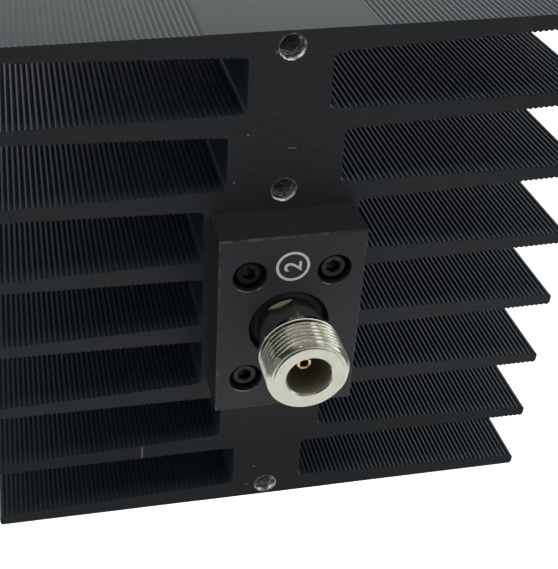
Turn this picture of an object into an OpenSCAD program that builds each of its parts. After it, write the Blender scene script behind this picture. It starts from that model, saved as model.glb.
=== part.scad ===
/* [Heat sink] */
// Number of fins on each side of the web
fin_count = 8; // [4:2:12]
// Distance from one fin's middle to the next
fin_pitch = 15.6; // [13.5:0.1:20]
// Thickness of a fin, taken to the centre plane
fin_root_t = 5.1; // [4:0.1:7]
// Thickness of a fin at its tip
fin_tip_t = 2.7; // [2:0.1:3.6]
// Share of the taper on the outward face, from the outermost fin to the middle one
fin_lean = [0, 0, 0.2, 0.45]; // [0:0.05:0.5]
// Width over the fin tips
sink_w = 122; // [90:1:160]
// Length of the extrusion
sink_len = 180; // [150:1:300]
// Rounding of the fin tips
tip_r = 0.8; // [0.3:0.1:1]
// Width of the web beside the outermost gaps
web_outer_w = 15.5; // [10:0.1:20]
// Width of the web beside the second gaps
web_mid_w = 22.2; // [16:0.1:26]
// Wall between the core's bore and the gaps beside it
core_wall = 5.35; // [4.5:0.05:8]
// Fillet where a fin meets the web
gap_fillet = 0.8; // [0.3:0.1:1.5]
// Bore through the core for the attenuator's carrier
core_bore_d = 20; // [19:0.1:26]

/* [Tapped holes in the ends] */
// Distance of the outer holes from the top and bottom faces
end_hole_margin = 3.15; // [2.8:0.05:7]
// Distance of the inner holes from the end block's edge
end_hole_clear = 4.25; // [3:0.05:9]
// Diameter of the tapped hole's wall
end_hole_d = 4.2; // [3:0.1:4.4]
// Diameter of its countersink
end_hole_mouth_d = 5; // [4.5:0.1:5.4]
// Depth of the hole
end_hole_depth = 12; // [6:1:20]

/* [End blocks] */
// Distance of an end block's sides from the core's sides
block_inset = 1.1; // [0.3:0.1:2]
// Gap between an end block and the roots of the fins above and below it
block_clear = 0.1; // [0.05:0.05:2]
// Thickness of an end block
block_t = 9.8; // [8:0.1:13]
// Break along the block's outer edges
block_edge = 0.35; // [0.2:0.05:0.8]
// Gap round the connector where it passes the block
neck_gap = 0.1; // [0.05:0.05:0.3]

/* [Block screws] */
// Wall between the flange's pocket and a screw's hole
screw_land = 1.1; // [0.8:0.1:1.8]
// Angle of a screw above the horizontal, seen along the axis
screw_angle = 56.5; // [52:0.5:60]
// Thread diameter
screw_d = 3; // [2.5:0.1:3.4]
// Head diameter
screw_head_d = 5.5; // [4.5:0.1:6]
// Head height
screw_head_h = 3; // [2:0.1:3.5]
// Depth that the thread reaches into the heat sink
screw_bite = 6.2; // [4:0.1:14]
// Size of the hex socket across flats
screw_socket = 2.5; // [2:0.5:3]
// Depth of the head's top below the block's face
screw_sink = 1; // [0.2:0.1:2]
// Gap round a head in its counterbore
head_gap = 0.6; // [0.2:0.1:0.8]
// Gap round a screw's shank in the block
shank_gap = 0.2; // [0.1:0.05:0.4]
// Gap between a thread and its tapped hole
thread_gap = 0.05; // [0.02:0.01:0.1]

/* [Connector] */
// Outside diameter of the coupling thread
thread_d = 15.875; // [14:0.005:18]
// Distance of the front face from the heat sink's end
jack_reach = 25.5; // [20:0.1:32]
// Length of the thread
thread_len = 5.8; // [4:0.1:8]
// Length of the chamfer before the thread
nose_len = 0.8; // [0.4:0.1:1.2]
// Height of the chamfer before the thread
nose_step = 1.3; // [0.8:0.1:2.5]
// Width of the relief behind the thread
relief_w = 0.6; // [0.4:0.1:1]
// Depth of the relief behind the thread
relief_depth = 0.7; // [0.3:0.1:0.9]
// Length of the plain ring behind the relief
ring_len = 1.3; // [0.8:0.1:2]
// Depth of the neck behind the ring
neck_step = 1.5; // [0.8:0.1:2]
// Depth inside the block at which the neck widens
shoulder_sink = 0.8; // [0.2:0.1:2]
// Width of the flange's face on the heat sink's end
flange_lip = 2; // [1.5:0.1:2.3]
// Flange thickness
flange_t = 3; // [2:0.1:4]
// Length of the spigot that enters the core
spigot_len = 4; // [3:0.1:8]
// Gap round the spigot and the carrier in the core's bore
bore_gap = 0.1; // [0.05:0.01:0.2]
// Diameter of the front bore
jack_bore_d = 8.5; // [8:0.1:9]
// Depth of the front bore
jack_bore_depth = 9.8; // [8:0.1:11]
// Diameter of the air line behind it
line_d = 7; // [6:0.1:8]
// Diameter of the bead's seat
seat_d = 10; // [9:0.1:11]
// Distance from the sink's end to the bead's stop
bead_stop = 4.2; // [3:0.1:6]
// Thickness of the bead
bead_t = 3.2; // [2:0.1:4]
// Gap round the bead and the bushing
bead_gap = 0.04; // [0.02:0.01:0.1]

/* [Centre contact] */
// Outside diameter of the contact
contact_d = 3.04; // [2.8:0.01:3.3]
// Depth of the contact's face behind the jack's face
contact_recess = 4; // [2.5:0.1:5.5]
// Diameter of its socket
socket_d = 1.7; // [1.6:0.01:1.8]
// Depth of its socket
socket_depth = 5.5; // [4:0.1:7]
// Width of the slots in the socket
slot_w = 0.2; // [0.15:0.01:0.25]
// Diameter of the groove that the bead sits in
groove_d = 2.2; // [1.8:0.1:2.6]
// Width of the flat tail
tail_w = 1.6; // [1:0.1:2]
// Thickness of the flat tail
tail_t = 0.6; // [0.4:0.1:0.8]
// Length of the flat tail inside the spigot
tail_inset = 0.5; // [0.2:0.1:1]

/* [Carrier and cards] */
// Width of the cards
card_w = 8.4; // [7:0.1:8.6]
// Thickness of the cards
card_t = 1; // [0.6:0.1:1.2]
// Share of the length that each card takes, from the output end
card_share = [0.26, 0.33, 0.41]; // [0.2:0.01:0.6]
// Gap between neighbouring cards
card_space = 2; // [1:0.1:4]
// Distance from the sink's end to the first card
card_start = 13; // [11:0.5:20]
// Gap at each side of a card in its channel
card_gap = 0.2; // [0.1:0.05:0.3]
// Height of the air channel over the split
channel_h = 2; // [1.5:0.1:2.2]
// Width of the ribbons
ribbon_w = 3; // [2:0.1:4]
// Thickness of the ribbons
ribbon_t = 0.15; // [0.1:0.05:0.3]
// Length of a ribbon's end on a card
ribbon_lap = 2.5; // [1.5:0.1:4]
// Gap between the carrier and a spigot
carrier_gap = 0.15; // [0.1:0.05:0.5]
// Thread diameter of a carrier screw
pin_screw_d = 2; // [1.6:0.1:2.2]
// Head diameter of a carrier screw
pin_head_d = 3.8; // [3:0.1:4]
// Head height of a carrier screw
pin_head_h = 2; // [1.2:0.1:2.2]
// Depth that a carrier screw reaches below the split
pin_bite = 3.6; // [2.5:0.1:4]
// Wall between the channel and the counterbore of a carrier screw
pin_wall = 0.45; // [0.3:0.05:0.6]
// Depth of a carrier screw's head below the carrier's round
pin_sink = 0.3; // [0.1:0.05:0.5]
// Distance of the end carrier screws from the carrier's ends
pin_inset = 10; // [5:1:30]
// Number of carrier screws on each side
pin_rows = 4; // [2:1:8]

/* [Hidden] */
$fn = 64;
eps = 0.5;

half_w = sink_w / 2;
sink_h = (fin_count - 1) * fin_pitch + fin_root_t;
axis_z = sink_h / 2;
taper = (fin_root_t - fin_tip_t) / half_w;
web_core_w = core_bore_d + 2 * core_wall;

// The end block lies on the web, between the roots of the third fins from the top and the bottom
block_w = web_core_w - 2 * block_inset;
block_h = 3 * fin_pitch - fin_root_t - 2 * block_clear;
end_hole_outer = sink_h / 2 - end_hole_margin;
end_hole_inner = block_h / 2 + end_hole_clear;

// The flange holds the connector under the block, inside the ring of screws
flange_d = core_bore_d + 2 * flange_lip;
screw_hole_r = screw_d / 2 + shank_gap;
screw_ring_r = flange_d / 2 + neck_gap + screw_land + screw_hole_r;
screw_x = screw_ring_r * cos(screw_angle);
screw_z = screw_ring_r * sin(screw_angle);
screw_seat = block_t - screw_sink - screw_head_h;
screw_len = screw_seat + screw_bite;
screw_hole_depth = screw_bite + 2;

// Places along the connector, measured outward from the heat sink's end
thread_back = jack_reach - nose_len - thread_len;
ring_front = thread_back - relief_w;
ring_back = ring_front - ring_len;
pilot_r = thread_d / 2;
neck_r = pilot_r - neck_step;
shoulder_at = block_t - shoulder_sink;
contact_face = jack_reach - contact_recess;
bead_back = bead_stop - bead_t;
tail_start = spigot_len - tail_inset;
tail_end = card_start - tail_inset;

// Heights inside the carrier, measured from the connector's axis
ribbon_top = -tail_t / 2;
card_top = ribbon_top - ribbon_t;
card_floor = card_top - card_t;
carrier_r = core_bore_d / 2 - bore_gap;
carrier_len = sink_len - 2 * (spigot_len + carrier_gap);
channel_w = card_w + 2 * card_gap;

// A carrier screw stands beside the channel, with its head as high as the carrier's round lets it
pin_head_r = pin_head_d / 2;
pin_screw_x = channel_w / 2 + pin_wall + thread_gap + pin_head_r;
pin_seat = sqrt(carrier_r ^ 2 - (pin_screw_x + pin_head_r) ^ 2) - pin_head_h - pin_sink;
pin_screw_len = pin_seat + pin_bite;

// Places of the cards along the heat sink, from the output end
cards_len = sink_len - 2 * card_start - 2 * card_space;
card_len = [for (share = card_share) share * cards_len];
card_y = [
    -sink_len / 2 + card_start,
    -sink_len / 2 + card_start + card_len[0] + card_space,
    sink_len / 2 - card_start - card_len[2],
];

// Middle height of fin k, counted from the top
function fin_z(k) = ((fin_count - 1) / 2 - k) * fin_pitch;

// Share of fin k's taper that its upper face takes: the lower half mirrors the upper
function upper_share(k) =
    k < fin_count / 2
        ? fin_lean[min(k, len(fin_lean) - 1)]
        : 1 - fin_lean[min(fin_count - 1 - k, len(fin_lean) - 1)];

// Heights of fin k's faces at the distance x from the centre plane
function upper_z(k, x) = fin_z(k) + fin_root_t / 2 - upper_share(k) * taper * x;
function lower_z(k, x) = fin_z(k) - fin_root_t / 2 + (1 - upper_share(k)) * taper * x;

// Half the web's width beside gap g, counted from the top
function web_x(g) =
    let (from_edge = min(g, fin_count - 2 - g))
    (from_edge == 0 ? web_outer_w : from_edge == 1 ? web_mid_w : web_core_w) / 2;

// A quarter round about c, from the angle a and through turn degrees
function arc(c, r, a, turn, steps = 4) =
    [for (i = [0:steps]) c + r * [cos(a + turn * i / steps), sin(a + turn * i / steps)]];

// Rounded tip of fin k, from its upper face to its lower one
function fin_tip(k) =
    concat(
        arc([half_w - tip_r, upper_z(k, half_w) - tip_r], tip_r, 90, -90),
        arc([half_w - tip_r, lower_z(k, half_w) + tip_r], tip_r, 0, -90)
    );

// Bottom of the gap under fin k, with its two fillets
function gap_root(k) =
    let (x = web_x(k) + gap_fillet)
    concat(
        arc([x, lower_z(k, x) - gap_fillet], gap_fillet, 90, 90),
        arc([x, upper_z(k + 1, x) + gap_fillet], gap_fillet, 180, 90)
    );

// Right half of the section from top to bottom, and the whole section
right_side = [
    for (k = [0:fin_count - 1])
        each concat(fin_tip(k), k < fin_count - 1 ? gap_root(k) : [])
];
left_side = [for (i = [len(right_side) - 1:-1:0]) [-right_side[i].x, right_side[i].y]];

// Puts children at the output end, with their Z pointing out of the heat sink
module at_out() {
    translate([0, -sink_len / 2, axis_z]) rotate([90, 0, 0]) children();
}

// The input end is the output end turned half round
module at_in() {
    rotate([0, 0, 180]) at_out() children();
}

// Runs a section in X and Z along the heat sink, centred on its length
module along(length) {
    translate([0, length / 2, axis_z]) rotate([90, 0, 0]) linear_extrude(length) children();
}

// The four places of the block screws
module at_block_screws() {
    for (x = [-1, 1], z = [-1, 1]) translate([x * screw_x, z * screw_z, 0]) children();
}

// The places of the carrier screws, at the split
module at_carrier_screws() {
    first = -carrier_len / 2 + pin_inset;
    for (side = [-1, 1], row = [0:pin_rows - 1])
        translate([side * pin_screw_x, first - 2 * first * row / (pin_rows - 1), axis_z]) children();
}

// A cap screw with its head's underside at z = 0 and its shank pointing down
module cap_screw(d, length, head_d, head_h, socket) {
    edge = head_h * 0.12;
    difference() {
        union() {
            cylinder(d = head_d, h = head_h - edge);
            translate([0, 0, head_h - edge]) cylinder(d1 = head_d, d2 = head_d - 2 * edge, h = edge);
            translate([0, 0, -length]) cylinder(d = d, h = length + eps);
        }
        translate([0, 0, head_h / 2]) cylinder(d = socket / cos(30), h = head_h, $fn = 6);
    }
}

// A tapped hole from z = 0 down, with a countersunk mouth and a drill point
module end_hole() {
    mouth = (end_hole_mouth_d - end_hole_d) / 2;
    translate([0, 0, -end_hole_depth]) cylinder(d = end_hole_d, h = end_hole_depth + eps);
    translate([0, 0, -mouth]) cylinder(d1 = end_hole_d, d2 = end_hole_mouth_d, h = mouth);
    translate([0, 0, -end_hole_depth - end_hole_d * 0.3])
        cylinder(d1 = 0, d2 = end_hole_d, h = end_hole_d * 0.3);
}

// Everything that is cut into one end of the heat sink
module end_cuts() {
    for (z = [end_hole_outer, end_hole_inner], up = [-1, 1]) translate([0, up * z, 0]) end_hole();
    at_block_screws()
        translate([0, 0, -screw_hole_depth])
            cylinder(d = screw_d + 2 * thread_gap, h = screw_hole_depth + eps);
}

module heat_sink() {
    color([0.12, 0.12, 0.14])
        difference() {
            along(sink_len) polygon(concat(right_side, left_side));
            along(sink_len + 2) circle(d = core_bore_d);
            at_out() end_cuts();
            at_in() end_cuts();
        }
}

// Corners of a w by t rectangle whose two upper corners are broken
function broken_top(w, t, edge) = [
    [-w / 2, 0], [w / 2, 0], [w / 2, t - edge], [w / 2 - edge, t], [-w / 2 + edge, t], [-w / 2, t - edge],
];

// Body of an end block, with a break along every edge of its outer face
module block_body() {
    intersection() {
        translate([0, block_h / 2, 0]) rotate([90, 0, 0])
            linear_extrude(block_h) polygon(broken_top(block_w, block_t, block_edge));
        translate([-block_w / 2, 0, 0]) rotate([90, 0, 90])
            linear_extrude(block_w) polygon(broken_top(block_h, block_t, block_edge));
    }
}

module end_block() {
    color([0.16, 0.16, 0.18])
        difference() {
            block_body();
            translate([0, 0, -eps]) cylinder(r = pilot_r + neck_gap, h = block_t + 2 * eps);
            translate([0, 0, -eps]) cylinder(d = flange_d + 2 * neck_gap, h = flange_t + eps);
            at_block_screws() {
                translate([0, 0, -eps]) cylinder(r = screw_hole_r, h = block_t + 2 * eps);
                translate([0, 0, screw_seat]) cylinder(d = screw_head_d + 2 * head_gap, h = block_t);
            }
        }
}

module block_screws() {
    color([0.08, 0.08, 0.09])
        at_block_screws()
            translate([0, 0, screw_seat])
                cap_screw(screw_d, screw_len, screw_head_d, screw_head_h, screw_socket);
}

// Shell of the jack: thread, relief, ring, neck, shoulder, flange and spigot, bored in steps
module connector_shell() {
    lead = 0.25;
    color([0.75, 0.75, 0.72])
        rotate_extrude($fn = 96)
            polygon([
                [seat_d / 2, -spigot_len],
                [carrier_r, -spigot_len],
                [carrier_r, 0],
                [flange_d / 2, 0],
                [flange_d / 2, flange_t],
                [pilot_r, flange_t],
                [pilot_r, shoulder_at - neck_step],
                [neck_r, shoulder_at],
                [neck_r, ring_back],
                [pilot_r, ring_back],
                [pilot_r, ring_front],
                [pilot_r - relief_depth, ring_front],
                [pilot_r - relief_depth, thread_back],
                [pilot_r, thread_back],
                [pilot_r, jack_reach - nose_len],
                [pilot_r - nose_step, jack_reach],
                [jack_bore_d / 2 + lead, jack_reach],
                [jack_bore_d / 2, jack_reach - lead],
                [jack_bore_d / 2, jack_reach - jack_bore_depth],
                [line_d / 2, jack_reach - jack_bore_depth],
                [line_d / 2, bead_stop],
                [seat_d / 2, bead_stop],
            ]);
}

// Slotted socket at the front, groove for the bead, and a flat tail over the ribbon
module centre_contact() {
    lead = 0.2;
    socket_floor = contact_face - socket_depth;
    color([0.83, 0.66, 0.3]) {
        difference() {
            union() {
                rotate_extrude()
                    polygon([
                        [0, -tail_start],
                        [contact_d / 2, -tail_start],
                        [contact_d / 2, bead_back],
                        [groove_d / 2, bead_back],
                        [groove_d / 2, bead_stop],
                        [contact_d / 2, bead_stop],
                        [contact_d / 2, contact_face - lead],
                        [contact_d / 2 - lead, contact_face],
                        [0, contact_face],
                    ]);
                translate([-tail_w / 2, -tail_t / 2, -tail_end])
                    cube([tail_w, tail_t, tail_end - tail_start + eps]);
            }
            translate([0, 0, socket_floor]) cylinder(d = socket_d, h = socket_depth + eps);
            for (turn = [45, 135])
                rotate([0, 0, turn])
                    translate([-slot_w / 2, -contact_d, socket_floor + eps])
                        cube([slot_w, 2 * contact_d, socket_depth]);
        }
    }
}

module bead() {
    color([0.93, 0.92, 0.88])
        translate([0, 0, bead_back])
            difference() {
                cylinder(d = seat_d - 2 * bead_gap, h = bead_t);
                translate([0, 0, -eps]) cylinder(d = groove_d + 2 * bead_gap, h = bead_t + 2 * eps);
            }
}

module bushing() {
    color([0.72, 0.62, 0.4])
        translate([0, 0, -spigot_len])
            difference() {
                cylinder(d = seat_d - 2 * bead_gap, h = spigot_len + bead_back);
                translate([0, 0, -eps]) cylinder(d = line_d, h = spigot_len + bead_back + 2 * eps);
            }
}

module carrier_lower() {
    color([0.72, 0.71, 0.69])
        difference() {
            along(carrier_len)
                difference() {
                    circle(r = carrier_r, $fn = 96);
                    translate([-carrier_r, 0]) square([2 * carrier_r, carrier_r]);
                    translate([-channel_w / 2, card_floor]) square([channel_w, carrier_r]);
                }
            at_carrier_screws()
                translate([0, 0, -pin_bite - thread_gap])
                    cylinder(d = pin_screw_d + 2 * thread_gap, h = pin_bite + eps);
        }
}

module carrier_upper() {
    color([0.76, 0.75, 0.73])
        difference() {
            along(carrier_len)
                difference() {
                    circle(r = carrier_r, $fn = 96);
                    translate([-carrier_r, -carrier_r]) square([2 * carrier_r, carrier_r]);
                    translate([-channel_w / 2, -eps]) square([channel_w, channel_h + eps]);
                }
            at_carrier_screws() {
                translate([0, 0, -eps]) cylinder(d = pin_screw_d + 2 * thread_gap, h = carrier_r);
                translate([0, 0, pin_seat]) cylinder(d = pin_head_d + 2 * thread_gap, h = carrier_r);
            }
        }
}

module carrier_screws() {
    color([0.6, 0.6, 0.62])
        at_carrier_screws()
            translate([0, 0, pin_seat]) cap_screw(pin_screw_d, pin_screw_len, pin_head_d, pin_head_h, 1.5);
}

// Card i, counted from the output end, on the channel's floor
module card(i) {
    color([0.9, 0.9, 0.86])
        translate([-card_w / 2, card_y[i], axis_z + card_floor]) cube([card_w, card_len[i], card_t]);
}

// A ribbon on the cards' plane from y0 to y1
module ribbon(y0, y1) {
    color([0.83, 0.66, 0.3])
        translate([-ribbon_w / 2, y0, axis_z + card_top]) cube([ribbon_w, y1 - y0, ribbon_t]);
}

// The ribbon that joins card i to the next one
module link(i) {
    edge = card_y[i] + card_len[i];
    ribbon(edge - ribbon_lap, edge + card_space + ribbon_lap);
}

// The ribbon from the contact's tail to the end card, on the given side
module tab(side) {
    inner = side * (sink_len / 2 - card_start - ribbon_lap);
    outer = side * (sink_len / 2 - tail_start - 2);
    ribbon(min(inner, outer), max(inner, outer));
}

heat_sink();
at_out() end_block();  // out_block
at_in() end_block();  // in_block
at_out() block_screws();  // out_block_screws
at_in() block_screws();  // in_block_screws
at_out() connector_shell();  // out_connector_shell
at_in() connector_shell();  // in_connector_shell
at_out() centre_contact();  // out_centre_contact
at_in() centre_contact();  // in_centre_contact
at_out() bead();  // out_bead
at_in() bead();  // in_bead
at_out() bushing();  // out_bushing
at_in() bushing();  // in_bushing
carrier_lower();
carrier_upper();
carrier_screws();
card(0);  // output_card
card(1);  // middle_card
card(2);  // input_card
tab(-1);  // output_tab
link(0);  // first_link
link(1);  // second_link
tab(1);  // input_tab
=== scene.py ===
import functools
import math

import bmesh
import bpy
from bpy.types import Operator, Panel, PropertyGroup
from mathutils import Matrix, Vector


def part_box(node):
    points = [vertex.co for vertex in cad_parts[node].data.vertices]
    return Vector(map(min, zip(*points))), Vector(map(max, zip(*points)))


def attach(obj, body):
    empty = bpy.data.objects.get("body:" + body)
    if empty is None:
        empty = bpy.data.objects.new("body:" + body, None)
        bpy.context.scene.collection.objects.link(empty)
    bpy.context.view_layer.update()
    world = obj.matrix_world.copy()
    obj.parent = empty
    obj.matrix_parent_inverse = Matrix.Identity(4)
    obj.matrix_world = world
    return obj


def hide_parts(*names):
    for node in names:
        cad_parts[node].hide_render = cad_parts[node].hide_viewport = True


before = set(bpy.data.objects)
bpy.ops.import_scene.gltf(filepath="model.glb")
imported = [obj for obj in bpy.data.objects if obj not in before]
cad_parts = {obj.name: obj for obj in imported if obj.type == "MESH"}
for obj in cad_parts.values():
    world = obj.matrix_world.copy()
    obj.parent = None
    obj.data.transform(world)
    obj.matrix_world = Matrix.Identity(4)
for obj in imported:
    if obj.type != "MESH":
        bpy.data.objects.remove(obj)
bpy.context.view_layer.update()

bl_info = {
    "name": "Finned Coaxial Attenuator",
    "version": (1, 0, 0),
    "blender": (4, 5, 0),
    "location": "View3D > Sidebar > Attenuator",
    "description": "Ribbed fins, threaded jacks, screws, finishes and a studio for the attenuator",
    "category": "Object",
}

MM = 0.001
SINK_LOW, SINK_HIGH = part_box("heat_sink")
BLOCK_LOW, BLOCK_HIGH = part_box("out_block")
JACK_LOW, JACK_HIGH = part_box("out_connector_shell")
AXIS_Z = (SINK_LOW.z + SINK_HIGH.z) / 2
END_Y = SINK_HIGH.y
BLOCK_T = BLOCK_HIGH.y - BLOCK_LOW.y

# Each end's name and the direction in Y that it faces
ENDS = {"out": -1, "in": 1}

# The numeral printed beside each jack
PORT_MARKS = {"out": "2", "in": "1"}

# The finish of every CAD node, by the record's material slots
NODE_FINISHES = {
    "heat_sink_anodised": ("heat_sink",),
    "block_anodised": ("out_block", "in_block"),
    "black_screw": ("out_block_screws", "in_block_screws"),
    "plated_shell": ("out_connector_shell", "in_connector_shell"),
    "gold_contact": ("out_centre_contact", "in_centre_contact"),
    "white_insulator": ("out_bead", "in_bead"),
    "brass_bushing": ("out_bushing", "in_bushing"),
    "carrier_metal": ("carrier_lower", "carrier_upper"),
    "steel_screw": ("carrier_screws",),
    "card_ceramic": ("output_card", "middle_card", "input_card"),
    "gold_ribbon": ("output_tab", "first_link", "second_link", "input_tab"),
}

# Specks on the heat sink's front end, in millimetres: x, height from the jacks' axis, radius
END_SPECKS = (
    (-2.8, 53.2, 0.2), (-7.4, 37.3, 0.2), (-9.7, 27.4, 0.2), (-2.9, -48.0, 0.18),
    (-4.5, -53.5, 0.2))

# Scratches there: the start and the end, each as x and height from the axis, and half the width
END_SCRATCHES = (((0.4, 34.0), (1.85, 33.8), 0.09), ((-28.45, -38.0), (-28.55, -41.3), 0.1))

# Where the soft edge of a speck or scratch ends and starts, as shares of its radius
SOFT_EDGE = (1.3, 0.6)

# Half a thread's turn from its crest to its root, as (share of the pitch, share of the depth)
SHARP_PROFILE = ((0.075, 0.0), (0.25, 0.5), (0.425, 1.0))
ROUND_PROFILE = (
    (0.01, 0.0), (0.062, 0.016), (0.109, 0.062), (0.145, 0.133), (0.28, 0.524), (0.42, 0.93),
    (0.46, 1.0))

MERGED = 1e-6        # vertices closer than this become one
NO_LENGTH = 1e-7     # an edge shorter than this is dissolved
FLOOR_GAP = 0.0001   # from the object's underside down to the floor
OVERRUN = 0.002      # length of a groove's cutter beyond the heat sink's ends
FULL_PITCH = 0.9999  # share of the ribs' pitch at which a row keeps its last groove
FLAT_LIMIT = 0.5     # cosine from a wrench flat's middle beyond which the neck is round
RING_FACES = 64      # round a printed ring
HALF_THICK = 0.5     # of the numeral, before the ink's film scales it


def number(name, description, default, **more):
    """A property of one number, or of several where the default lists them."""
    if isinstance(default, tuple):
        return bpy.props.FloatVectorProperty(
            name=name, description=description, default=default, size=len(default), **more)
    return bpy.props.FloatProperty(name=name, description=description, default=default, **more)


def length(name, description, default):
    """A length, or several, in metres."""
    return number(name, description, default, unit="LENGTH", precision=6)


def angle(name, description, degrees):
    """An angle, given in degrees."""
    return number(name, description, math.radians(degrees), unit="ROTATION")


def colour(name, description, default):
    """A linear colour."""
    return number(name, description, default, subtype="COLOR")


def direction(name, description, default):
    """A direction from the object."""
    return number(name, description, default, subtype="DIRECTION")


class SectionSizes(PropertyGroup):
    """Sizes of the CAD model's heat sink, which the ribs and the tapped holes follow."""

    fins: bpy.props.IntProperty(name="Fins", description="Fins on each side", default=8, min=4)
    pitch: length("Fin pitch", "From one fin's middle to the next", 0.0156)
    root: length("Fin root", "Thickness of a fin on the centre plane", 0.0051)
    tip: length("Fin tip", "Thickness of a fin at its tip", 0.0027)
    lean: number(
        "Lean", "Share of the taper on the outward face, from the outermost fin in",
        (0.0, 0.0, 0.2, 0.45))
    web: length(
        "Web widths", "Width beside the outermost, the second and the other gaps",
        (0.0155, 0.0222, 0.0307))
    hole_heights: length(
        "Hole heights", "Heights of the tapped end holes from the jacks' axis",
        (0.054, 0.025, -0.025, -0.054))
    hole_bore: length("Hole bore", "Diameter of a tapped end hole", 0.0042)
    hole_mouth: length("Hole mouth", "Diameter of its countersink", 0.005)
    hole_depth: length("Hole depth", "Depth of a tapped end hole", 0.012)


class RibSizes(PropertyGroup):
    """The fine ribs that run along the fins' faces."""

    pitch: length("Rib pitch", "From one rib to the next", 0.00108)
    groove: length("Groove width", "Width of the groove between two ribs", 0.00096)
    depth: length("Groove depth", "Depth of the groove between two ribs", 0.00032)
    waist: number(
        "Waist", "Share of its width at which a groove turns steep, which rounds the ribs",
        0.62, min=0.1, max=0.7, subtype="FACTOR")
    tip_margin: length("Tip margin", "Plain face between the last groove and a fin's tip", 0.0013)
    web_margin: length("Web margin", "Plain face between the web and the first groove", 0.0013)
    outer: number(
        "Outer depth", "Share of the groove depth that the top and the bottom have",
        0.38, min=0.1, max=1.0, subtype="FACTOR")
    band: length("Plain band", "Half the width of the plain band on the top and the bottom", 0.0156)


class JackSizes(PropertyGroup):
    """The jack's turned shell and its coupling thread."""

    thread_d: length("Thread diameter", "Outside diameter of the coupling thread", 0.015875)
    spigot_d: length("Spigot", "Diameter of the spigot in the core", 0.0198)
    edge: length("Edge break", "Break along the turned edges", 0.00014)
    thread_pitch: length("Thread pitch", "Pitch of the coupling thread, 24 turns an inch", 0.0254 / 24)
    thread_depth: length("Thread depth", "Depth of the coupling thread", 0.00058)
    thread_len: length("Thread length", "Length of the coupling thread behind the chamfer", 0.0058)
    nose_len: length("Nose length", "Length of the chamfer that the thread runs into", 0.0008)
    nose_step: length("Nose step", "Height of the chamfer before the thread", 0.0013)
    nose_lip: length("Nose lip", "Length of the plain lip round the front face", 0.0003)
    relief_w: length("Relief width", "Width of the relief behind the thread", 0.0006)
    relief_depth: length("Relief depth", "Depth of the relief behind the thread", 0.0007)
    ring_len: length("Ring length", "Length of the plain ring behind the relief", 0.0013)
    ring_edge: length("Ring edge", "Radius of the ring's rounded edges", 0.0003)
    neck_step: length("Neck step", "Depth of the neck below the thread's crests", 0.0015)
    flat: length("Wrench flat", "Distance of the neck's two wrench flats from the axis", 0.0059)
    flat_turn: angle("Flat angle", "Angle of the upper wrench flat above the horizontal", 111)
    flat_start: length("Flat start", "Distance of the wrench flats from the block's face", 0.0003)
    shoulder_sink: length("Shoulder sink", "Depth inside the block at which the neck widens", 0.0008)
    flange_t: length("Flange thickness", "Thickness of the flange under the block", 0.003)
    bore: length("Bore", "Diameter of the front bore", 0.0085)
    bore_depth: length("Bore depth", "Depth of the front bore", 0.0098)
    line: length("Line", "Diameter of the air line behind the bore", 0.007)
    seat: length("Bead seat", "Diameter of the bead's seat", 0.010)
    bead_stop: length("Bead stop", "Distance of the bead's stop from the heat sink's end", 0.0042)


class ScrewSizes(PropertyGroup):
    """The socket-head cap screws of the end blocks."""

    ring: length("Screw ring", "Distance of a screw from the jack's axis", 0.0149)
    angle: angle("Screw angle", "Angle of a screw above the horizontal", 56.5)
    shank: length("Shank", "Diameter of the thread", 0.003)
    head: length("Head", "Diameter of the head", 0.0055)
    head_h: length("Head height", "Height of the head", 0.003)
    sink: length("Sink", "Depth of the head's top below the block's face", 0.001)
    socket: length("Socket", "Size of the hex socket across flats", 0.0025)
    bite: length("Bite", "Depth of the thread in the heat sink", 0.0062)
    knurls: bpy.props.IntProperty(name="Knurls", description="Ridges round a head", default=24, min=12)
    knurl_depth: length("Knurl depth", "Depth between two ridges", 0.00012)


class FinishColours(PropertyGroup):
    """Colours of the finishes, as the photograph shows them."""

    anodise: colour("Anodise", "Black anodised extrusion", (0.0185, 0.0265, 0.037))
    sawn: colour("Sawn end", "Black anodised, sawn end", (0.031, 0.033, 0.039))
    # Painted light: a faint blue glow on the drawn sides that lifts the dark grooves
    painted_groove_glow: colour("Veil", "Faint blue that the dye scatters in the grooves", (0.0008, 0.0012, 0.0027))
    block: colour("Block", "Black anodised, milled end block", (0.037, 0.042, 0.052))
    aluminium: colour("Aluminium", "Bare aluminium of the tapped holes", (0.72, 0.72, 0.71))
    oxide: colour("Black oxide", "Black screws", (0.012, 0.012, 0.013))
    plating: colour("Plating", "Bright plating of the jacks", (0.685, 0.69, 0.61))
    # Grime with painted shade in the roots of the coupling threads
    root_grime_and_shade: colour("Grime", "Dull roots of the coupling threads", (0.10, 0.10, 0.09))
    gold: colour("Gold", "Gold plating of contacts and ribbons", (0.95, 0.70, 0.36))
    ink: colour("Ink", "Pale printed mark", (0.93, 0.94, 0.95))
    brass: colour("Brass", "Turned brass of the bushings", (0.72, 0.50, 0.21))
    steel: colour("Steel", "Stainless steel of the carrier's screws", (0.56, 0.56, 0.57))
    insulator: colour("Insulator", "White insulator that carries the contact", (0.86, 0.85, 0.81))
    ceramic: colour("Ceramic", "Ceramic of the resistive cards", (0.80, 0.80, 0.76))
    film: colour("Film", "Resistive film on the cards", (0.035, 0.033, 0.03))
    dust: colour("Dust", "Specks of dust and fine scratches", (0.35, 0.35, 0.35))


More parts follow.
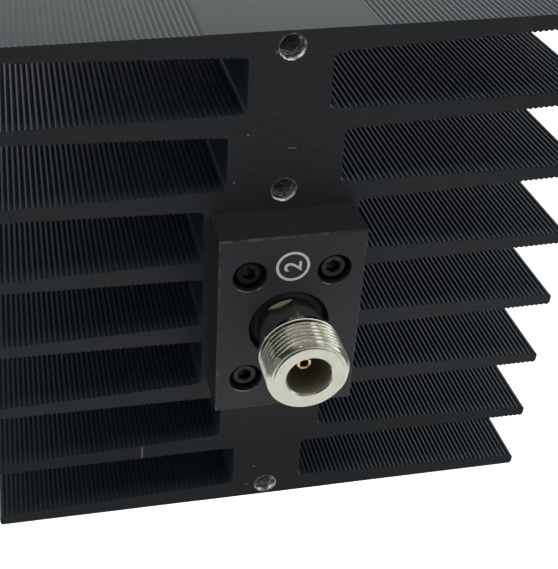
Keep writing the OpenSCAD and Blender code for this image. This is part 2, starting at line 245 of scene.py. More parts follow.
class StudioSettings(PropertyGroup):
    """The photograph's viewpoint, the floor and the lights."""

    place: length("Camera place", "Where the camera stands", (-0.0459, -0.2535, 0.1815))
    turn: number(
        "Camera turn", "The camera's Euler angles",
        (math.radians(57.0), math.radians(-0.18), math.radians(-9.28)), subtype="EULER")
    sensor: number("Frame width", "Width of the camera's frame", 36.0, unit="CAMERA")
    lens: number("Lens", "Focal length for that frame", 66.3, unit="CAMERA")
    shift: number("Shift", "Shift that frames the photograph's crop", (0.1666, -0.0893))
    nearest: length("Nearest", "Nearest distance that the camera shows", 0.01)
    floor_size: length("Floor size", "Side of the floor", 12.0)
    floor_colour: colour("Floor colour", "Pale floor", (0.86, 0.86, 0.86))
    glow: number("Floor glow", "Light that the floor itself throws on the object", 0.34)
    glow_reach: length(
        "Glow reach", "Where the glow starts to fade and ends, in front on the left", (0.16, 0.20))
    glow_width: length("Glow width", "Where it starts to fade and ends, on either side", (0.085, 0.12))
    room: colour("Room", "Dim light of the room above and in front", (0.045, 0.047, 0.043))
    wall: direction("Wall", "Direction in which the white wall stands", (0.9, 0.43, 0.0))
    wall_turn: number(
        "Wall turn", "Where the wall starts and is full, as the cosine from its direction", (-0.2, 0.3))
    wall_height: number(
        "Wall height", "Where the wall starts to fade and ends, as an angle's sine", (0.12, 0.56))
    window: direction("Window", "Direction of the large soft light behind the object", (0.13, 0.82, 0.557))
    lamp: direction("Lamp", "Direction of the small light in front on the right", (0.52, -0.75, 0.41))
    widths: number("Light widths", "One less the cosine to the edge of window and lamp", (0.2, 0.004))
    hoop: number(
        "Hoop", "Place along Y and half width of the strip of light that arches overhead", (-0.12, 0.09))
    haze: direction("Haze", "Direction of the dim patch round the camera", (0.16, -0.83, 0.53))
    haze_edge: number("Haze edge", "Where the patch starts and is full, as the cosine from it", (0.85, 0.96))
    haze_colour: colour("Haze colour", "Its warm grey", (0.35, 0.31, 0.265))
    daylight: colour("Daylight", "Colour of the lights near the horizon", (0.95, 0.98, 1.0))
    overhead: colour("Overhead", "Colour of the lights higher up", (1.0, 0.995, 0.92))
    powers: number("Light powers", "Strengths of window, lamp, hoop and wall", (0.16, 1.2, 3.0, 1.15))


SETTINGS = {
    "attenuator_section": SectionSizes,
    "attenuator_ribs": RibSizes,
    "attenuator_jack": JackSizes,
    "attenuator_screws": ScrewSizes,
    "attenuator_colours": FinishColours,
    "attenuator_studio": StudioSettings,
}


def settings(name):
    """The settings of one group, as the scene holds them."""
    return getattr(bpy.context.scene, f"attenuator_{name}")


def sign(operation, swapped=False):
    """A method that adds a Math node of that operation, its two values swapped if need be."""
    def method(self, *others):
        values = (*others, self) if swapped else (self, *others)
        return self.maker.add("ShaderNodeMath", *values, operation=operation)
    return method


class Wire:
    """A node's output socket, on which Python's arithmetic signs add Math nodes."""

    def __init__(self, maker, socket):
        self.maker = maker
        self.socket = socket

    __add__ = __radd__ = sign("ADD")
    __mul__ = __rmul__ = sign("MULTIPLY")
    __sub__ = sign("SUBTRACT")
    __rsub__ = sign("SUBTRACT", swapped=True)
    __truediv__ = sign("DIVIDE")
    __lt__ = sign("LESS_THAN")
    __gt__ = sign("GREATER_THAN")
    __abs__ = sign("ABSOLUTE")
    __pow__ = sign("POWER")
    at_least = sign("MAXIMUM")
    at_most = sign("MINIMUM")
    modulo = sign("MODULO")
    side = sign("SIGN")


class Maker:
    """Adds nodes to one shader or geometry tree."""

    def __init__(self, tree):
        self.tree = tree

    def add(self, kind, *values, output=0, **named):
        """Adds a node. Lower-case names are its settings, other names and places its sockets."""
        node = self.tree.nodes.new(kind)
        for name, value in named.items():
            if name.islower():
                setattr(node, name, value)
        for socket, value in zip([s for s in node.inputs if s.enabled], values):
            self.feed(socket, value)
        for name, value in named.items():
            if not name.islower():
                self.feed(self.find(node.inputs, name.replace("_", " ")), value)
        if isinstance(output, int):
            return Wire(self, [s for s in node.outputs if s.enabled][output])
        return Wire(self, self.find(node.outputs, output))

    @staticmethod
    def find(sockets, name):
        """The enabled socket of that name."""
        for socket in sockets:
            if socket.enabled and socket.name.lower() == name.lower():
                return socket
        raise KeyError(f"no socket named {name}")

    def feed(self, socket, value):
        """Links a wire to a socket, or sets the socket's value."""
        if isinstance(value, Wire):
            self.tree.links.new(value.socket, socket)
        elif socket.type == "RGBA":
            socket.default_value = (*value, 1)
        else:
            socket.default_value = value

    def parts(self, vector):
        """The x, y and z of a vector."""
        split = self.tree.nodes.new("ShaderNodeSeparateXYZ")
        self.feed(split.inputs[0], vector)
        return [Wire(self, socket) for socket in split.outputs]

    def step(self, wire, low, high):
        """A smooth change from 0 at low to 1 at high, or the reverse if low is above high."""
        flip = low > high
        a, b = (high, low) if flip else (low, high)
        risen = self.add(
            "ShaderNodeMapRange", interpolation_type="SMOOTHSTEP", Value=wire, From_Min=a, From_Max=b)
        return 1.0 - risen if flip else risen

    def mix(self, factor, a, b, clamp=True):
        """Mixes two colours."""
        return self.add(
            "ShaderNodeMix", data_type="RGBA", clamp_factor=clamp, Factor=factor, A=a, B=b,
            output="Result")

    def tones(self, factor, base, share):
        """From a colour to a darker or lighter tone of it."""
        return self.mix(factor, base, tone(base, share))

    def end_in(self, kind, value):
        """Ends the tree in an output node of that kind."""
        self.feed(self.tree.nodes.new(kind).inputs[0], value)


def total(wires):
    """The sum of several wires."""
    first, *others = wires
    return sum(others, first)


def least(wires):
    """The least of several wires."""
    first, *others = wires
    for other in others:
        first = first.at_most(other)
    return first


def tone(base, share):
    """A colour made darker or lighter."""
    return [c * share for c in base]


class Finish(Maker):
    """A material under construction: places in millimetres, patterns and the shader."""

    def __init__(self, name):
        self.material = bpy.data.materials.new(name)
        self.material.use_nodes = True
        super().__init__(self.material.node_tree)
        self.tree.nodes.clear()
        coords = self.add("ShaderNodeTexCoord", output="Object")
        self.place = self.add("ShaderNodeVectorMath", coords, operation="SCALE", Scale=1 / MM)
        self.x, self.y, height = self.parts(self.place)
        self.up = height - AXIS_Z / MM
        _, self.ny, self.nz = self.parts(self.add("ShaderNodeTexCoord", output="Normal"))

    def noise(self, x, y, z, detail):
        """Noise with so many cells in a millimetre along each axis, streaked where they differ."""
        place = self.add("ShaderNodeVectorMath", self.place, (x, y, z), operation="MULTIPLY")
        return self.add("ShaderNodeTexNoise", Vector=place, Scale=1.0, Detail=detail, Roughness=0.55)

    def around(self, x=0.0, up=0.0):
        """Distance from a line along Y, in millimetres from the jacks' axis."""
        across, above = self.x - x, self.up - up
        return (across * across + above * above) ** 0.5

    def spot(self, distance, radius):
        """1 within a radius, with a soft edge."""
        return self.step(distance, *(radius * edge for edge in SOFT_EDGE))

    def scratch(self, start, end, width):
        """1 on a straight scratch between two places, each given as (x, height from the axis)."""
        dx, dy = end[0] - start[0], end[1] - start[1]
        across, above = self.x - start[0], self.up - start[1]
        along = ((across * dx + above * dy) / (dx * dx + dy * dy)).at_least(0.0).at_most(1.0)
        off, over = across - along * dx, above - along * dy
        return self.spot((off * off + over * over) ** 0.5, width)

    def specks(self, scale, size, chance):
        """1 on round specks: cells in a millimetre, radius, and share of cells with one."""
        distance = self.add("ShaderNodeTexVoronoi", Vector=self.place, Scale=scale)
        chosen = Wire(self, distance.socket.node.outputs["Color"]) > 1.0 - chance
        return self.spot(distance, size * scale) * chosen

    def bump(self, height, distance, strength):
        """A bump whose height is given in millimetres for 1."""
        return self.add("ShaderNodeBump", Height=height, Distance=distance * MM, Strength=strength)

    def shade(self, **sockets):
        """Ends the tree in a Principled shader with the sockets named, and returns the material."""
        self.end_in("ShaderNodeOutputMaterial", self.add("ShaderNodeBsdfPrincipled", **sockets))
        return self.material


def place_at(end):
    """Turns a piece made round the Z axis, with Z pointing out of the heat sink, to its end."""
    side = ENDS[end]
    turn = Matrix.Rotation(math.pi if side > 0 else 0.0, 4, "Z")
    turn = turn @ Matrix.Rotation(math.pi / 2, 4, "X")
    return Matrix.Translation((0, side * END_Y, AXIS_Z)) @ turn


def new_object(name, data):
    """Adds an object to the scene."""
    piece = bpy.data.objects.new(name, data)
    bpy.context.scene.collection.objects.link(piece)
    return piece


def mesh_of(bm, name):
    """Makes a mesh of a bmesh, its doubles merged and its faces turned outwards."""
    bmesh.ops.remove_doubles(bm, verts=bm.verts, dist=MERGED)
    bmesh.ops.dissolve_degenerate(bm, edges=bm.edges, dist=NO_LENGTH)
    bmesh.ops.recalc_face_normals(bm, faces=bm.faces)
    mesh = bpy.data.meshes.new(name)
    bm.to_mesh(mesh)
    bm.free()
    return mesh


def evaluated_mesh(piece):
    """A plain mesh of an object with its modifiers, or of its text."""
    graph = bpy.context.evaluated_depsgraph_get()
    return bpy.data.meshes.new_from_object(piece.evaluated_get(graph), depsgraph=graph)


def soften(mesh, degrees):
    """Smooth shading with the edges sharper than the angle kept sharp."""
    mesh.shade_smooth()
    mesh.set_sharp_from_angle(angle=math.radians(degrees))


def turned(name, columns, outline, ring=False):
    """A piece round Z: outline(angle) lists its (radius, height), and a ring closes on itself."""
    bm = bmesh.new()
    grid = []
    for i in range(columns + 1):
        a = 2 * math.pi * i / columns
        grid.append([bm.verts.new((r * math.cos(a), r * math.sin(a), z)) for r, z in outline(a)])
    rows = len(grid[0])
    for here, after in zip(grid, grid[1:]):
        for j in range(rows if ring else rows - 1):
            k = (j + 1) % rows
            bm.faces.new((here[j], after[j], after[k], here[k]))
    return mesh_of(bm, name)


def thread(low, high, crest, depth, pitch, angle, profile=SHARP_PROFILE, limit=lambda height: 1.0):
    """A helical thread's (radius, height) rows at one angle, between two heights and in a limit."""
    corners = profile + tuple((1 - along, deep) for along, deep in reversed(profile))
    lead = angle / (2 * math.pi)

    def deep_at(height):
        along = ((height - low) / pitch - lead) % 1
        along = min(along, 1 - along)
        for (a0, d0), (a1, d1) in zip(profile, profile[1:]):
            if a0 <= along <= a1:
                return d0 + (d1 - d0) * (along - a0) / (a1 - a0)
        return 0.0 if along < profile[0][0] else 1.0

    rows = []
    for turn in range(-2, math.ceil((high - low) / pitch) + 1):
        for along, deep in corners:
            height = low + (turn + along + lead) * pitch
            held = min(max(height, low), high)
            deep = deep if held == height else deep_at(held)
            rows.append((min(crest - depth * deep, limit(held)), held))
    return rows


def finish_piece(piece, slot, *nodes):
    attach(piece, "root")
    if nodes:
        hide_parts(*nodes)
    return piece


class Geometry(Maker):
    """A geometry tree with named inputs, which makes a plain mesh of what it is put on."""

    def __init__(self, name, **inputs):
        super().__init__(bpy.data.node_groups.new(name, "GeometryNodeTree"))
        sockets = self.tree.interface
        sockets.new_socket("Geometry", in_out="INPUT", socket_type="NodeSocketGeometry")
        for title, kind in inputs.items():
            sockets.new_socket(title, in_out="INPUT", socket_type=f"NodeSocket{kind}")
        sockets.new_socket("Geometry", in_out="OUTPUT", socket_type="NodeSocketGeometry")
        self.group = self.tree.nodes.new("NodeGroupInput")
        self.guide = self.input("Geometry")

    def input(self, name):
        """One of the tree's own inputs."""
        return Wire(self, self.find(self.group.outputs, name))

    def end(self, geometry):
        """Realizes the result, gives it its material and ends the tree."""
        real = self.add("GeometryNodeRealizeInstances", geometry)
        done = self.add("GeometryNodeSetMaterial", real, Material=self.input("Finish"))
        self.end_in("NodeGroupOutput", done)

    def make(self, piece, **values):
        """Puts the tree on a piece, sets its inputs and turns the result into its plain mesh."""
        modifier = piece.modifiers.new(self.tree.name, "NODES")
        modifier.node_group = self.tree
        for item in self.tree.interface.items_tree:
            if item.in_out == "INPUT" and item.name in values:
                modifier[item.identifier] = values[item.name]
        mesh = evaluated_mesh(piece)
        piece.modifiers.clear()
        piece.data = mesh
        mesh.name = piece.name
        mesh.materials.clear()
        mesh.materials.append(values["Finish"])
        mesh.polygons.foreach_set("material_index", [0] * len(mesh.polygons))
        if not mesh.polygons:
            raise RuntimeError(f"{piece.name} came out empty")
        return piece


def guide(name, points, edges=()):
    """An object of bare points and edges that a geometry tree starts from."""
    mesh = bpy.data.meshes.new(name)
    mesh.from_pydata(points, edges, [])
    return new_object(name, mesh)


# The finishes, one function each. Widths and heights in them are in millimetres.


def extruded_black(colours, section, ribs):
    """Black anodised extrusion: drawn sides, sawn ends with painted shade towards the foot, a faint painted
    glow on the drawn sides, bare tapped holes, dust and scratches.
    """
    f = Finish("anodised_extrusion")
    ends = f.step(abs(f.ny), 0.7, 0.9)
    sides = 1.0 - ends
    drawn = f.noise(7, 0.02, 7, 2)
    cloud = f.noise(0.06, 0.03, 0.06, 3)
    sawn = f.noise(0.25, 1, 5, 4)
    pitted = f.noise(1.3, 1.3, 1.3, 4)
    grain = f.noise(2.2, 1.4, 2.2, 3)

    mouth = section.hole_mouth / MM / 2
    hole = least([f.around(0.0, height / MM) for height in section.hole_heights])
    bare = f.step(hole, mouth + 0.12, mouth + 0.02)

    front = f.step(f.y, -END_Y / MM + 0.5, -END_Y / MM + 0.3)
    specks = [f.spot(f.around(x, up), radius) for x, up, radius in END_SPECKS]
    marks = total(specks + [f.scratch(*scratch) for scratch in END_SCRATCHES]) * front
    dust = (f.specks(0.22, 0.07, 0.2) * 0.5 + marks * 0.8).at_most(1.0)

    # Painted shade: the ends darken towards the foot, against the light of the pale floor; and the outermost
    # faces have less coat on their ribs
    painted_foot_shade = f.step(f.up, -10, -45) * 0.9
    top = (SINK_HIGH.z - AXIS_Z) / MM
    ribbed = f.step(abs(f.up), top - 1.5, top - 1) * (abs(f.x) > ribs.band / MM)

    black = f.tones(cloud, colours.anodise, 1.25)
    cut = f.tones(f.step(sawn, 0.35, 0.65), colours.sawn, 1.4)
    black = f.mix(ends, black, f.mix(painted_foot_shade, cut, tone(colours.sawn, 0.25)))
    metal = f.tones(f.step(pitted, 0.62, 0.42), colours.aluminium, 0.28)
    rough = (drawn * 0.16 + grain * 0.3 + 0.15) * sides + (sawn * 0.2 + 0.5) * ends
    height = (drawn * 0.6 + grain * 0.9) * sides + sawn * ends * 0.5 + pitted * bare
    return f.shade(
        Base_Color=f.mix(bare, f.mix(dust, black, colours.dust), metal),
        Metallic=bare,
        Roughness=rough * (1.0 - bare) + (pitted * 0.4 + 0.15) * bare,
        Specular_IOR_Level=0.2,
        Specular_Tint=(0.8, 0.95, 1.0),
        Coat_Weight=sides * (0.8 - ribbed * 0.28),
        Coat_Roughness=0.3,
        # Painted light: the drawn sides glow a faint blue
        Emission_Color=f.mix(ends, colours.painted_groove_glow, (0, 0, 0)),
        Emission_Strength=1.0,
        Normal=f.bump(height, 0.05, 0.6))


def milled_black(colours, screws):
    """Black anodised, milled block: cutter marks, painted shade on the top and sides, worn edges, and
    painted glints on the counterbores' rims.
    """
    f = Finish("anodised_block")
    front = f.step(abs(f.ny), 0.93, 0.98)
    edge = f.step(abs(f.ny), 0.4, 0.5) * f.step(abs(f.ny), 0.95, 0.85)
    wear = f.noise(0.5, 0.5, 0.5, 3)
    marks = f.noise(0.12, 5, 0.12, 3) * (1.0 - front) + f.noise(0.4, 1, 2.5, 4) * front
    worn = edge * f.step(wear, 0.35, 0.65)

    # Painted glints: pale spots along the lower half of each counterbore's rim, where the light catches it
    x, up = (screws.ring / MM * trig(screws.angle) for trig in (math.cos, math.sin))
    rim = screws.head / MM / 2 + 0.75
    painted_rim_glints = []
    for side, above in ((-1, 1), (1, 1), (-1, -1), (1, -1)):
        off = abs(f.around(side * x, above * up) - rim)
        painted_rim_glints.append(f.step(off, 0.14, 0.06) * f.step(f.up - above * up, -2.3, -2.9))
    # The rim glints are painted, in patches
    bare = total(painted_rim_glints) * f.step(wear, 0.42, 0.6)

    black = f.tones(marks, colours.block, 1.3)
    # Painted shade: every face but the front takes a darker tone of the block's colour
    black = f.mix(front, tone(colours.block, 0.5), black)
    # The pale tone carries worn edges, dust and the painted rim glints
    pale = (worn * 0.2 + f.specks(0.3, 0.06, 0.2) * 0.4 + bare).at_most(1.0)
    return f.shade(
        Base_Color=f.mix(pale, black, colours.dust),
        Roughness=marks * 0.2 + 0.38 - worn * 0.1,
        Specular_IOR_Level=0.2,
        Normal=f.bump(marks, 0.03, 0.4))


def black_oxide(colours):
    """Oil-black steel with paler grains."""
    f = Finish("black_oxide")
    grain = f.noise(3, 3, 3, 3)
    return f.shade(
        Base_Color=f.tones(f.step(grain, 0.6, 0.72), colours.oxide, 3),
        Roughness=grain * 0.25 + 0.18,
        Specular_IOR_Level=0.35,
        Specular_Tint=(0.75, 0.88, 1.0),
        Normal=f.bump(grain, 0.02, 0.3))


def bright_metal(name, base, rough, lines):
    """Metal with fine lines: lines gives how often they cross X, Y and Z in a millimetre."""
    f = Finish(name)
    line = f.noise(*lines, 2)
    cloud = f.noise(0.35, 0.35, 0.35, 4)
    return f.shade(
        Base_Color=f.tones(f.step(cloud, 0.45, 0.75), base, 0.8),
        Metallic=1.0,
        Roughness=(line * 0.7 + cloud * 0.5 + 0.4) * rough,
        Normal=f.bump(line, 0.01, 0.35))


def bright_plating(colours, jack):
    """Bright plating: turned lines, painted shade in the bore, grime and painted shade in the thread roots,
    scuffs, and painted shade on the shoulder sunk in the block.
    """
    f = Finish("bright_plating")
    line = f.noise(0.15, 7, 0.15, 2)
    cloud = f.noise(0.35, 0.35, 0.35, 4)
    out, off = abs(f.y), f.around()
    bore_r, crest = jack.bore / MM / 2, jack.thread_d / MM / 2
    front = (-JACK_LOW.y - jack.nose_len) / MM
    back = front - (jack.thread_len + jack.relief_w) / MM
    ring_back = back - jack.ring_len / MM
    shoulder = (END_Y + BLOCK_T - jack.shoulder_sink) / MM

    # Painted shade: the plating inside the bore is darker, and rougher too
    bore = f.step(off, bore_r + 0.12, bore_r + 0.02)
    # Painted shade: the shoulder sunk in the block takes a darker tone of the block's colour, without metal
    painted_sunk_shade = f.step(out, shoulder + 0.4, shoulder)
    neck = f.step(out, ring_back + 0.1, ring_back - 0.1) * (1.0 - painted_sunk_shade)
    threaded = (out > back) * (out < front) * (off > crest - 2)
    # Grime and painted shade darken the roots of the coupling thread
    root_grime_and_shade = f.step(off, crest - 0.12, crest - jack.thread_depth / MM) * threaded
    scuffed = f.step(f.noise(0.9, 0.6, 0.9, 4), 0.42, 0.62) * threaded
    # Dull patches at random and from scuffs, with the painted shade of the bore
    dull_and_painted_shade = (f.step(cloud, 0.45, 0.75) * 0.15 + bore * 0.2 + scuffed * 0.4).at_most(1.0)
    plated = f.tones(dull_and_painted_shade, colours.plating, 0.4)
    plated = f.mix(root_grime_and_shade * 0.8, plated, colours.root_grime_and_shade)
    rough = line * 0.05 + cloud * 0.04 + bore * 0.4 + scuffed * 0.06
    return f.shade(
        Base_Color=f.mix(painted_sunk_shade, plated, tone(colours.block, 0.8)),
        Metallic=1.0 - painted_sunk_shade,
        Roughness=rough + neck * 0.14 + painted_sunk_shade * 0.35 + 0.04,
        Normal=f.bump(line, 0.01, 0.3))


def white_insulator(colours):
    """Turned white insulator."""
    f = Finish("white_insulator")
    line = f.noise(0.3, 8, 0.3, 2)
    return f.shade(
        Base_Color=f.tones(line, colours.insulator, 0.93),
        Roughness=line * 0.15 + 0.4,
        Normal=f.bump(line, 0.01, 0.3))


def card_ceramic(colours):
    """Ceramic card: a dark resistive film between silver bands at the card's sides."""
    f = Finish("card_ceramic")
    top = f.step(f.nz, 0.7, 0.9)
    film = f.step(abs(f.x), 2.9, 2.8) * top
    band = f.step(abs(f.x), 3.4, 3.5) * top
    grain = f.noise(4, 4, 4, 4)
    painted = f.mix(film, f.tones(grain, colours.ceramic, 0.9), colours.film)
    return f.shade(
        Base_Color=f.mix(band, painted, colours.aluminium),
        Metallic=band,
        Roughness=grain * 0.2 + 0.35 - film * 0.1,
        Normal=f.bump(grain + film, 0.01, 0.3))


def printed_ink(colours):
    """Pale ink, printed a little unevenly."""
    f = Finish("printed_ink")
    grain = f.noise(2.5, 2.5, 2.5, 4)
    return f.shade(
        Base_Color=f.tones(f.step(grain, 0.5, 0.75), colours.ink, 0.7),
        Roughness=grain * 0.2 + 0.45,
        Normal=f.bump(grain, 0.01, 0.4))


def pale_floor(studio):
    """Pale floor, white to the camera, that throws a dimmer light on the object."""
    f = Finish("studio_floor")
    grain = f.noise(0.05, 0.05, 0.05, 3)
    out = (f.x * -0.6 - f.y * 0.8) * MM  # metres to the front and the left
    fade = f.step(out, *studio.glow_reach).at_least(f.step(abs(f.x) * MM, *studio.glow_width))
    seen = f.add("ShaderNodeLightPath", output="Is Camera Ray")
    thrown = f.mix(fade, (studio.glow,) * 3, studio.room)
    pale = f.tones(grain, studio.floor_colour, 0.985)
    return f.shade(
        Base_Color=f.mix(fade * (1.0 - seen), pale, tone(studio.floor_colour, 0.3)),
        Roughness=grain * 0.1 + 0.6,
        Specular_IOR_Level=0.3,
        Emission_Color=f.mix(seen, thrown, (1, 1, 1)),
        Emission_Strength=1.0)


@functools.cache
def finish(slot):
    """The finish of a material slot, made the first time that it is asked for."""
    c = settings("colours")
    makers = {
        "heat_sink_anodised": lambda: extruded_black(c, settings("section"), settings("ribs")),
        "block_anodised": lambda: milled_black(c, settings("screws")),
        "black_screw": lambda: black_oxide(c),
        "plated_shell": lambda: bright_plating(c, settings("jack")),
        "gold_contact": lambda: bright_metal("gold_plating", c.gold, 0.22, (0.3, 9, 0.3)),
        "gold_ribbon": lambda: bright_metal("gold_foil", c.gold, 0.3, (9, 0.1, 9)),
        "brass_bushing": lambda: bright_metal("turned_brass", c.brass, 0.25, (0.2, 8, 0.2)),
        "carrier_metal": lambda: bright_metal("milled_carrier", c.aluminium, 0.35, (5, 0.05, 5)),
        "steel_screw": lambda: bright_metal("stainless_steel", c.steel, 0.25, (2, 2, 2)),
        "white_insulator": lambda: white_insulator(c),
        "card_ceramic": lambda: card_ceramic(c),
        "ink": lambda: printed_ink(c),
    }
    return makers[slot]()


# The pieces


class ATTENUATOR_OT_camera(Operator):
    """Add the camera at the photograph's viewpoint"""

    bl_idname = "attenuator.camera"
    bl_label = "Camera"

    def execute(self, context):
        studio = settings("studio")
        camera = new_object("camera", bpy.data.cameras.new("camera"))
        camera.location = studio.place
        camera.rotation_euler = studio.turn
        camera.data.lens = studio.lens
        camera.data.sensor_width = studio.sensor
        camera.data.sensor_fit = "HORIZONTAL"
        camera.data.shift_x, camera.data.shift_y = studio.shift
        camera.data.clip_start = studio.nearest
        context.scene.camera = camera
        return {"FINISHED"}


class ATTENUATOR_OT_heat_sink(Operator):
    """Cut the fine ribs along the fins of the heat sink"""

    bl_idname = "attenuator.heat_sink"
    bl_label = "Ribbed heat sink"

    def rows(self, section, ribs):
        """The rows of grooves across the fins' faces: (start x, z), (end x, z), share of the depth."""
        last = section.fins - 1
        taper = (section.root - section.tip) / SINK_HIGH.x
        tip = SINK_HIGH.x - ribs.tip_margin
        webs = [section.web[min(gap, last - 1 - gap, 2)] / 2 + ribs.web_margin for gap in range(last)]
        rows = []
        for fin in range(section.fins):
            middle = (last / 2 - fin) * section.pitch
            lean = section.lean[fin] if fin <= last / 2 else 1 - section.lean[last - fin]
            over = webs[fin - 1] if fin > 0 else ribs.band
            under = webs[fin] if fin < last else ribs.band
            for side, inner, slope in ((1, over, -lean * taper), (-1, under, (1 - lean) * taper)):
                start = tip - math.floor((tip - inner) / ribs.pitch) * ribs.pitch
                face = [(x, middle + side * section.root / 2 + slope * x) for x in (start, tip)]
                rows.append((*face, ribs.outer if inner == ribs.band else 1.0))
        return rows

    def tree(self):
        """Cuts a groove out of a body at each pitch along the guide's lines."""
        g = Geometry(
            "rib_grooves", Pitch="Float", Width="Float", Depth="Float", Waist="Float",
            Length="Float", Body="Object", Finish="Material")
        line = g.add("GeometryNodeMeshToCurve", g.guide)
        places = g.add("GeometryNodeResampleCurve", line, mode="LENGTH", Length=g.input("Pitch"))

        # The cutter is an octagonal bar with every other corner drawn in to the waist
        bar = g.add("GeometryNodeMeshCylinder", Vertices=8, Radius=1.0, Depth=1.0, output="Mesh")
        odd = g.add("GeometryNodeInputIndex").modulo(2.0)
        pull = 1.0 - odd * (1.0 - g.input("Waist"))
        x, y, z = g.parts(g.add("GeometryNodeInputPosition"))
        shape = g.add(
            "ShaderNodeCombineXYZ", x * pull * (g.input("Width") / 2),
            y * pull * g.input("Depth"), z * g.input("Length"))
        cutter = g.add("GeometryNodeSetPosition", bar, Position=shape)
        laid = g.add("GeometryNodeTransform", cutter, Rotation=(math.pi / 2, 0, 0))

        depth = g.add("GeometryNodeInputNamedAttribute", data_type="FLOAT", Name="depth_share")
        flatter = g.add("ShaderNodeCombineXYZ", 1.0, 1.0, depth)
        grooves = g.add("GeometryNodeInstanceOnPoints", places, Instance=laid, Scale=flatter)
        real = g.add("GeometryNodeRealizeInstances", grooves)
        body = g.add("GeometryNodeObjectInfo", g.input("Body"), output="Geometry")
        cut = g.add(
            "GeometryNodeMeshBoolean", operation="DIFFERENCE", solver="MANIFOLD",
            Mesh_1=body, Mesh_2=real, output="Mesh")
        g.end(cut)
        return g

    def execute(self, context):
        ribs = settings("ribs")
        bm = bmesh.new()
        bm.from_mesh(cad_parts["heat_sink"].data)
        body = new_object("heat_sink_body", mesh_of(bm, "heat_sink_body"))
        points, edges, depths = [], [], []
        for *row, depth in self.rows(settings("section"), ribs):
            for side in (-1, 1):
                edges.append((len(points), len(points) + 1))
                points += [(side * x, 0, AXIS_Z + z) for x, z in row]
                depths += [depth, depth]
        piece = guide("ribbed_heat_sink", points, edges)
        piece.data.attributes.new("depth_share", "FLOAT", "POINT").data.foreach_set("value", depths)
        self.tree().make(
            piece, Pitch=ribs.pitch * FULL_PITCH, Width=ribs.groove, Depth=ribs.depth,
            Waist=ribs.waist, Length=2 * END_Y + OVERRUN, Body=body,
            Finish=finish("heat_sink_anodised"))
        if len(piece.data.polygons) < 4 * len(edges):
            raise RuntimeError("the heat sink's grooves were not cut")
        bpy.data.objects.remove(body)
        finish_piece(piece, "heat_sink_anodised", "heat_sink")
        return {"FINISHED"}


class ATTENUATOR_OT_hole_threads(Operator):
    """Add the threads of the tapped holes in the heat sink's ends"""

    bl_idname = "attenuator.hole_threads"
    bl_label = "Tapped holes"

    pitch: length("Pitch", "Pitch of the tapped thread", 0.0008)
    ridge: length("Ridge", "Half thickness of its ridge", 0.00024)

    def tree(self):
        """Lays a square ridge wound round Y at each point, from there into the heat sink."""
        g = Geometry(
            "tapped_threads", Radius="Float", Turns="Float", Height="Float", Ridge="Float",
            Finish="Material")
        radius = g.input("Radius")
        spiral = g.add(
            "GeometryNodeCurveSpiral", Resolution=20, Rotations=g.input("Turns"),
            Start_Radius=radius, End_Radius=radius, Height=g.input("Height"))
        square = g.add("GeometryNodeCurvePrimitiveCircle", Resolution=4, Radius=g.input("Ridge"))
        ridge = g.add("GeometryNodeCurveToMesh", spiral, Profile_Curve=square, Fill_Caps=True)
        _, y, _ = g.parts(g.add("GeometryNodeInputPosition"))
        inward = g.add("ShaderNodeCombineXYZ", y.side() * (math.pi / 2), 0.0, 0.0)
        g.end(g.add("GeometryNodeInstanceOnPoints", g.guide, Instance=ridge, Rotation=inward))
        return g

    def execute(self, context):
        section = settings("section")
        start = section.hole_mouth - section.hole_bore + self.ridge
        deep = section.hole_depth - start - self.ridge
        points = []
        for side in ENDS.values():
            points += [(0, side * (END_Y - start), AXIS_Z + height) for height in section.hole_heights]
        piece = guide("end_hole_threads", points)
        self.tree().make(
            piece, Radius=section.hole_bore / 2, Turns=deep / self.pitch, Height=deep,
            Ridge=self.ridge, Finish=finish("heat_sink_anodised"))
        finish_piece(piece, "heat_sink_anodised")
        return {"FINISHED"}


class ATTENUATOR_OT_block_screws(Operator):
    """Add the knurled socket-head screws of both end blocks"""

    bl_idname = "attenuator.block_screws"
    bl_label = "Block screws"

    def outline(self, s, seat, angle):
        """A screw's outline at one angle, from its tip to the bottom of its socket."""
        column = round(angle / (2 * math.pi) * 2 * s.knurls)
        head = s.head / 2 - (s.knurl_depth if column % 2 else 0)
        turn = (angle + math.pi / 6) % (math.pi / 3) - math.pi / 6
        hexagon = s.socket / 2 / math.cos(turn)
        corner = s.socket / 2 / math.cos(math.pi / 6)
        edge, lead = s.head_h * 0.12, s.shank * 0.12
        depth, pitch = s.shank * 0.1, s.shank / 6
        shank, cap, k = s.shank / 2, s.head / 2, s.knurl_depth
        top, tip, floor = seat + s.head_h, -s.bite, seat + s.head_h / 2
        return [
            (0, tip), (shank - depth - lead, tip), (shank - depth, tip + lead),
            *thread(tip + lead, seat - 2 * lead, shank, depth, pitch, angle),
            (shank - depth, seat - lead), (shank - depth, seat), (cap - 2 * k, seat),
            (head, seat + k), (head, top - 2 * edge), (cap - k, top - edge), (cap - edge - k, top),
            (corner + k, top), (hexagon, top - k), (hexagon, floor),
            (s.socket * 0.3, floor - s.socket * 0.14), (0, floor - s.socket * 0.28),
        ]

    def execute(self, context):
        s = settings("screws")
        seat = BLOCK_T - s.sink - s.head_h
        mesh = turned("block_screw", 2 * s.knurls, lambda angle: self.outline(s, seat, angle))
        soften(mesh, 24)
        screw = new_object("block_screw", mesh)
        g = Geometry("screw_set", Screw="Object", Turn="Vector", Finish="Material")
        one = g.add("GeometryNodeObjectInfo", g.input("Screw"), output="Geometry")
        g.end(g.add(
            "GeometryNodeInstanceOnPoints", g.guide, Instance=one, Rotation=g.input("Turn")))
        x, up = s.ring * math.cos(s.angle), s.ring * math.sin(s.angle)
        for end in ENDS:
            place = place_at(end)
            points = [place @ Vector((a * x, b * up, 0)) for a in (-1, 1) for b in (-1, 1)]
            piece = guide(f"{end}_cap_screws", points)
            g.make(piece, Screw=screw, Turn=place.to_euler(), Finish=finish("black_screw"))
            finish_piece(piece, "black_screw", f"{end}_block_screws")
        bpy.data.objects.remove(screw)
        return {"FINISHED"}


